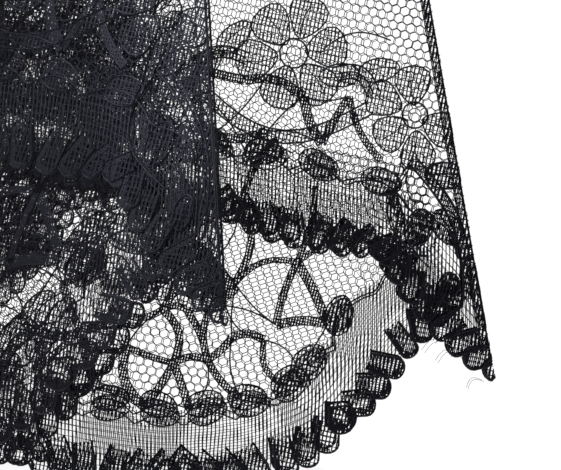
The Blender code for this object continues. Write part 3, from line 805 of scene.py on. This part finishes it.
def wood_material():
    """Black lacquer over wood, with a grain that shows faintly."""
    n = Nodes("black_lacquered_wood")
    stretch = n.node("ShaderNodeMapping")
    stretch.inputs["Scale"].default_value = (9, 9, 0.6)
    n.feed(n.place(), stretch.inputs["Vector"])
    grain = n.noise(60, 6, stretch.outputs[0])
    colour = n.mix(grain, (0.0015, 0.0012, 0.0012), (0.013, 0.009, 0.007))
    n.set(Base_Color=colour, Roughness=n.math("MULTIPLY_ADD", grain, 0.25, 0.3))
    n.set(Coat_Weight=0.12, Specular_IOR_Level=0.3, Coat_Roughness=0.12)
    n.bump(grain, 0.15, 0.2 * MM)
    return n.material


def metal_material(name, dark, light, rough, scale):
    """Brushed metal with tarnish in patches."""
    n = Nodes(name)
    roughness = n.math("MULTIPLY_ADD", n.noise(scale * 6, 3), 0.3, rough)
    n.set(Base_Color=n.mix(n.noise(scale, 5), dark, light), Metallic=1.0, Roughness=roughness)
    n.bump(n.noise(scale * 14), 0.12, 0.1 * MM)
    return n.material


# ---- making the pieces


def add(name, data):
    obj = bpy.data.objects.new(name, data)
    bpy.context.scene.collection.objects.link(obj)
    return obj


def piece_from(name, drawing, wing, material, edge=None, hang=0.0, margin=0.05 * MM):
    """One piece of a wing: the drawing, laid on the wing's surface."""
    flat = np.array(drawing.points)
    rib_side = (1.3 if hang else 0.2) * MM  # a hung frill leans towards its neighbour over the rib
    flat[:, 1] = np.clip(flat[:, 1], rib_side, crest(np.maximum(flat[:, 0], LACE_START)) - margin)
    places = wing.place(flat, hang)
    faces = np.array(drawing.faces)
    if wing.side < 0:
        faces = faces[:, ::-1]
    mesh = bpy.data.meshes.new(name)
    mesh.vertices.add(len(places))
    mesh.vertices.foreach_set("co", places.ravel())
    mesh.loops.add(faces.size)
    mesh.loops.foreach_set("vertex_index", faces.ravel())
    mesh.polygons.add(len(faces))
    mesh.polygons.foreach_set("loop_start", np.arange(len(faces)) * 4)
    mesh.polygons.foreach_set("use_smooth", np.ones(len(faces), bool))
    mesh.update(calc_edges=True)
    corners = faces.ravel()
    layers = [("lace", flat[:, :2])]
    if edge:
        layers.append(("border", edge.measure(flat[:, :2])))
    for uv_name, values in layers:
        layer = mesh.uv_layers.new(name=uv_name)
        layer.data.foreach_set("uv", values[corners].ravel())
    mesh.validate()
    mesh.materials.append(material)
    obj = add(name, mesh)
    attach(obj, wing.body)
    return obj


def make_lace():
    """The wings and the frills of every rib: a net each, and the motifs that ride with it."""
    edge, frill_edge = Edge(main_hem()), Edge(frill_hem())
    net = draw_net(edge, lambda v: np.array([LACE_START, crest(LACE_START) * v]), GRID_ROWS, 0.8, 3 * MM)
    seam = HEM - FRILL_SEAM
    frill_top = crest(seam) - 8 * MM
    frill = draw_net(
        frill_edge, lambda v: np.array([seam, 1 * MM + (frill_top - 1 * MM) * v]), FRILL_ROWS, 1.0, 3 * MM
    )
    materials = {
        "net": net_material(),
        "clothwork": cloth_material("lace_clothwork", CLOTH_PITCH, 0.135 * MM, 0.95 * MM, 0.08 * MM),
        "scallops": cloth_material("lace_dense_clothwork", 0.52 * MM, 0.17 * MM, 0.6 * MM, 0.12 * MM),
        "cords": cord_material(),
    }
    motifs = {side: draw_motifs(edge, seed, side > 0) for side, seed in ((1, 31), (-1, 57))}
    frill_motifs = {side: draw_frill_motifs(frill_edge, seed, side > 0) for side, seed in ((1, 71), (-1, 93))}
    wing_flat = (HEM_WIDTH, LOWEST)
    frill_flat = (HEM_WIDTH, LOWEST + max(FRILL_HEM)[0] * MM - seam)
    for number in range(1, RIBS + 1):
        for side, word in ((1, "left"), (-1, "right")):
            wing = Wing(number, side)
            tag = f"{word}_{number}"
            for kind, ground, drawings, hem, hang, flat in (
                ("", net, motifs[side], edge, 0.0, wing_flat),
                ("frill_", frill, frill_motifs[side], frill_edge, FRILL_HANG, frill_flat),
            ):
                sheet = piece_from(f"{kind}net_{tag}", ground, wing, materials["net"], hem, hang)
                extras = [
                    piece_from(f"{kind}{name}_{tag}", drawing, wing, materials[name], None, hang, 0.3 * MM)
                    for name, drawing in zip(("clothwork", "scallops", "cords"), drawings)
                ]
                if not kind:
                    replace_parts(sheet, f"lace_{tag}")


def mesh_piece(name, points, faces, material, body):
    """One piece from points in the frame, smooth but for its edges sharper than 40 degrees."""
    mesh = bpy.data.meshes.new(name)
    mesh.from_pydata([tuple(p) for p in points], [], faces)
    mesh.polygons.foreach_set("use_smooth", [True] * len(mesh.polygons))
    mesh.set_sharp_from_angle(angle=math.radians(40))
    mesh.materials.append(material)
    obj = add(name, mesh)
    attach(obj, body)
    return obj


def turned_profile(node, origin, axis):
    """(height, radius) pairs down the outside of a turned node, read off the node itself."""
    places = np.array([node.matrix_world @ v.co for v in node.data.vertices])
    tree = BVHTree.FromPolygons([Vector(p) for p in places], [tuple(p.vertices) for p in node.data.polygons])
    side = axis.orthogonal().normalized()
    levels = np.unique(np.round((places - np.array(origin)) @ np.array(axis), 5))
    profile = []
    for level in levels:
        for height in (level - 0.02 * MM, level + 0.02 * MM):
            reach = 0.0
            for turn in range(40):
                out = Matrix.Rotation(math.pi * turn / 20 + 0.003, 3, axis) @ side
                far = origin + axis * height + out * 0.1
                hit = tree.ray_cast(far, -out, 0.1)[0]
                if hit is not None:
                    reach = max(reach, 0.1 - (far - hit).length)
            if reach > 0:
                profile.append((height, reach))
    return profile, side


def turn_smooth(name, looks, body, origin=Vector((0, 0, 0)), axis=Vector((0, 0, 1))):
    """A smooth turned piece in place of a faceted turned node."""
    profile, side = turned_profile(frame["nodes"][name], origin, axis)
    profile = [(profile[0][0], 0.0)] + profile + [(profile[-1][0], 0.0)]
    steps = 64
    points = []
    for height, radius in profile:
        for turn in range(steps):
            out = Matrix.Rotation(2 * math.pi * turn / steps, 3, axis) @ side
            points.append(origin + axis * height + out * max(radius, 0.01 * MM))
    faces = quads(len(profile), steps, wrap=True)
    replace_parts(mesh_piece(f"smooth_{name}", points, faces, looks[SLOTS[name]], body), name)


def smooth_facets(name, looks, body):
    """A node in its own shape, so with its slots, and with its facets shaded as one round surface."""
    node = frame["nodes"][name]
    corners = {}
    index = [
        corners.setdefault(tuple(round(x / MM, 3) for x in node.matrix_world @ v.co), len(corners))
        for v in node.data.vertices
    ]
    faces = [[index[v] for v in face.vertices] for face in node.data.polygons]
    faces = [face for face in faces if len(set(face)) == len(face)]
    points = [Vector(corner) * MM for corner in corners]
    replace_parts(mesh_piece(f"smooth_{name}", points, faces, looks[SLOTS[name]], body), name)


def rib_line(number):
    """A rib's pivot, and the unit vector from it to the rib's tip."""
    pivot = Vector(JOINTS[f"rib_{number}_hinge"]["pos_m"])
    return pivot, Vector(JOINTS[f"lace_right_{number}_fold"]["axis"]).normalized()


def make_turned(looks):
    """Smooth pieces in place of the CAD nodes whose facets would show."""
    for name in ("end_cap", "handle", "handle_collar", "crown_cap", "ferrule", "finial"):
        turn_smooth(name, looks, "root")
    turn_smooth("runner_grip", looks, "runner")
    for name, body in (("shaft", "root"), ("runner", "runner")):
        smooth_facets(name, looks, body)
    for number in range(1, RIBS + 1):
        turn_smooth(f"rib_tip_{number}", looks, f"rib_{number}", *rib_line(number))


def make_rosette(net, cord):
    """The lace rosette that covers the crown: a ring of net with rings and loops of cord."""
    node = frame["nodes"]["top_rosette"]
    places = np.array([node.matrix_world @ v.co for v in node.data.vertices])
    radii = np.hypot(places[:, 0], places[:, 1])
    inner, outer = radii.min() + 0.1 * MM, radii.max()
    high, low = places[radii < inner + 1 * MM, 2].max(), places[radii > outer - 2 * MM, 2].min()

    def on_cone(radius, turn, lift=0.0):
        share = (radius - inner) / (outer - inner)
        wave = 0.35 * MM * math.sin(RIBS * turn) * share
        return (radius * math.cos(turn), radius * math.sin(turn), high + (low - high) * share + wave + lift)

    steps, rings = 192, 16
    points, flat = [], []
    for i in range(rings):
        for j in range(steps):
            turn = 2 * math.pi * j / steps
            edge = outer - 1.6 * MM * (1 - abs(math.sin(RIBS * turn)) ** 0.7)
            radius = inner + (edge - inner) * i / (rings - 1)
            points.append(on_cone(radius, turn))
            flat.append((radius * math.cos(turn), radius * math.sin(turn)))
    sheet = mesh_piece("rosette_net", points, quads(rings, steps, wrap=True), net, "root")
    layer = sheet.data.uv_layers.new(name="lace")
    for loop in sheet.data.loops:
        layer.data[loop.index].uv = flat[loop.vertex_index]
    paths, lift = [], 0.3 * MM
    for radius in (inner + 1 * MM, inner + 3.4 * MM, outer - 5 * MM):
        paths.append([on_cone(radius, 2 * math.pi * j / 96, lift) for j in range(97)])
    petals = 2 * RIBS
    for petal in range(petals):
        middle = 2 * math.pi * (petal + 0.5) / petals
        loop = []
        for j in range(17):
            share = j / 16
            radius = outer - 4.8 * MM + 4.2 * MM * math.sin(math.pi * share) ** 0.8
            loop.append(on_cone(radius, middle + (share - 0.5) * 2 * math.pi / petals, lift))
        paths.append(loop)
        leaf = []
        for j in range(13):
            a = 2 * math.pi * j / 12
            radius = (inner + outer) / 2 + 2.6 * MM * math.cos(a) - 0.6 * MM
            leaf.append(on_cone(radius, middle + math.sin(a) * 0.09, lift))
        paths.append(leaf)
    trim = tubes("rosette_cords", paths, CORD * 1.2, cord, "root")
    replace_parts(sheet, "top_rosette")


def tubes(name, paths, radius, material, body, sides=5):
    """Round cords along paths in the frame."""
    points, faces = [], []
    for path in paths:
        path, start = [Vector(p) for p in path], len(points)
        for i, place in enumerate(path):
            way = (path[min(i + 1, len(path) - 1)] - path[max(i - 1, 0)]).normalized()
            across = way.cross(Vector((0.31, 0.17, 1))).normalized()
            over = way.cross(across)
            for k in range(sides):
                a = 2 * math.pi * k / sides
                points.append(place + radius * (math.cos(a) * across + math.sin(a) * over))
        faces.extend(quads(len(path), sides, start, wrap=True))
    return mesh_piece(name, points, faces, material, body)


def make_ties(cord):
    """The thread that is wound round each rib where the lace is sewn to it."""
    for number in range(1, RIBS + 1):
        pivot, down = rib_line(number)
        side = down.orthogonal().normalized()
        paths = []
        for start in np.arange(24 * MM, HEM - 8 * MM, TIE_PITCH):
            path = []
            for i in range(61):
                out = Matrix.Rotation(2 * math.pi * i / 12, 3, down) @ side
                path.append(pivot + down * (start + 3.2 * MM * i / 60) + out * TIE_RADIUS)
            paths.append(path)
        tubes(f"rib_ties_{number}", paths, 0.3 * MM, cord, f"rib_{number}")


def dress_frame():
    """Materials for the CAD nodes that show."""
    looks = {
        "black_wood": wood_material(),
        "silver_metal": metal_material("aged_silver", (0.07, 0.068, 0.062), (0.36, 0.35, 0.33), 0.2, 60),
        "black_steel": metal_material("blackened_steel", (0.012, 0.012, 0.014), (0.07, 0.07, 0.078), 0.3, 90),
        "black_lace": cord_material(),
    }
    for name, obj in frame["nodes"].items():
        for slot in obj.material_slots:
            slot.material = looks[SLOTS[name]]
    return looks


# ---- stage, light and camera

PICTURE_WIDTH = 112.2 * MM  # at the hem's point, from the size of the net
CAMERA_AZIMUTH = math.radians(17)
CAMERA_ELEVATION = math.radians(2)
CAMERA_DISTANCE = 0.9
TRANSPARENT_BOUNCES = 64  # many layers of net are in line
POINT_OFF = (42.9 * MM, -27.4 * MM)  # the hem's point, from the middle of the view
FOLD_LEAN = math.radians(10)
LIGHTS = (  # name, place, size across, power
    ("key", (-1.1, -1.0, 0.75), 0.9, 32),
    ("fill", (1.6, -0.6, 1.2), 1.4, 4),
    ("rim", (0.4, 1.8, 1.6), 1.2, 8),
)
LIT_POINT = (28 * MM, 16 * MM)  # over the hem's line and in from the crest, where the cold spot aims


def still_wing(number):
    """A rib's left wing without its waves, to aim the camera or a light at."""
    wing = Wing(number, 1)
    wing.waves = wing.waves * 0
    return wing


def make_camera():
    """The camera looks at one fin's point, and rolls until its crest leans by FOLD_LEAN."""
    along = np.array([LOWEST, HEM * 0.64])
    places = still_wing(1).place(np.stack([along, crest(along), along * 0], 1))
    point, over = (Vector(p) for p in places)
    a, e = CAMERA_AZIMUTH, CAMERA_ELEVATION
    look = Vector((-math.sin(a) * math.cos(e), math.cos(a) * math.cos(e), -math.sin(e)))
    right = look.cross(Vector((0, 0, 1))).normalized()
    up = right.cross(look)
    fold = point - over
    roll = math.atan2(fold.dot(right), -fold.dot(up)) - FOLD_LEAN
    cos, sin = math.cos(roll), math.sin(roll)
    right, up = cos * right + sin * up, -sin * right + cos * up
    place = point - look * CAMERA_DISTANCE - right * POINT_OFF[0] - up * POINT_OFF[1]
    camera = add("camera", bpy.data.cameras.new("camera"))
    camera.matrix_world = Matrix.Translation(place) @ Matrix((right, up, -look)).transposed().to_4x4()
    camera.data.lens = camera.data.sensor_width * CAMERA_DISTANCE / PICTURE_WIDTH
    camera.data.clip_start = 0.02
    bpy.context.scene.camera = camera


def aim(light, place, target):
    light.location = place
    light.rotation_mode = "QUATERNION"
    light.rotation_quaternion = (target - light.location).to_track_quat("-Z", "Y")


def make_stage():
    """A pale floor, a white sky, three soft lamps, and a cold spot on the near fin's fold."""
    bpy.ops.mesh.primitive_circle_add(vertices=96, radius=5, fill_type="NGON", location=(0, 0, -0.5 * MM))
    floor = bpy.context.object
    floor.name = "floor"
    n = Nodes("pale_floor")
    n.set(Base_Color=n.mix(n.noise(3), (0.86, 0.86, 0.86), (0.9, 0.9, 0.9)), Roughness=0.9)
    floor.data.materials.append(n.material)
    scene = bpy.context.scene
    world = scene.world = bpy.data.worlds.new("studio")
    world.use_nodes = True
    background = world.node_tree.nodes["Background"]
    background.inputs["Color"].default_value = (1, 1, 1, 1)
    background.inputs["Strength"].default_value = 1.05
    for name, place, size, power in LIGHTS:
        light = add(name, bpy.data.lights.new(name, "AREA"))
        light.data.shape = "DISK"
        light.data.size = size
        light.data.energy = power
        aim(light, place, Vector((0, 0, 0.5)))
    along, across = by_crest(HEM - LIT_POINT[0], LIT_POINT[1])
    lit = Vector(still_wing(RIBS).place(np.array([[along, across, 0.0]]))[0])
    spot = add("fold_light", bpy.data.lights.new("fold_light", "SPOT"))
    spot.data.energy = 260
    spot.data.color = (0.9, 0.94, 1.0)
    spot.data.spot_size = math.radians(5.5)
    spot.data.spot_blend = 1.0
    spot.data.shadow_soft_size = 0.03
    aim(spot, lit + Vector((-0.8, -0.65, 0.45)).normalized(), lit)
    scene.view_settings.view_transform = "Standard"
    scene.cycles.transparent_max_bounces = TRANSPARENT_BOUNCES


make_camera()
make_stage()
looks = dress_frame()
make_turned(looks)
make_rosette(cloth_material("lace_rosette", 0.8 * MM, 0.16 * MM, 0.95 * MM, 0.12 * MM), looks["black_lace"])
make_ties(looks["black_lace"])
make_lace()
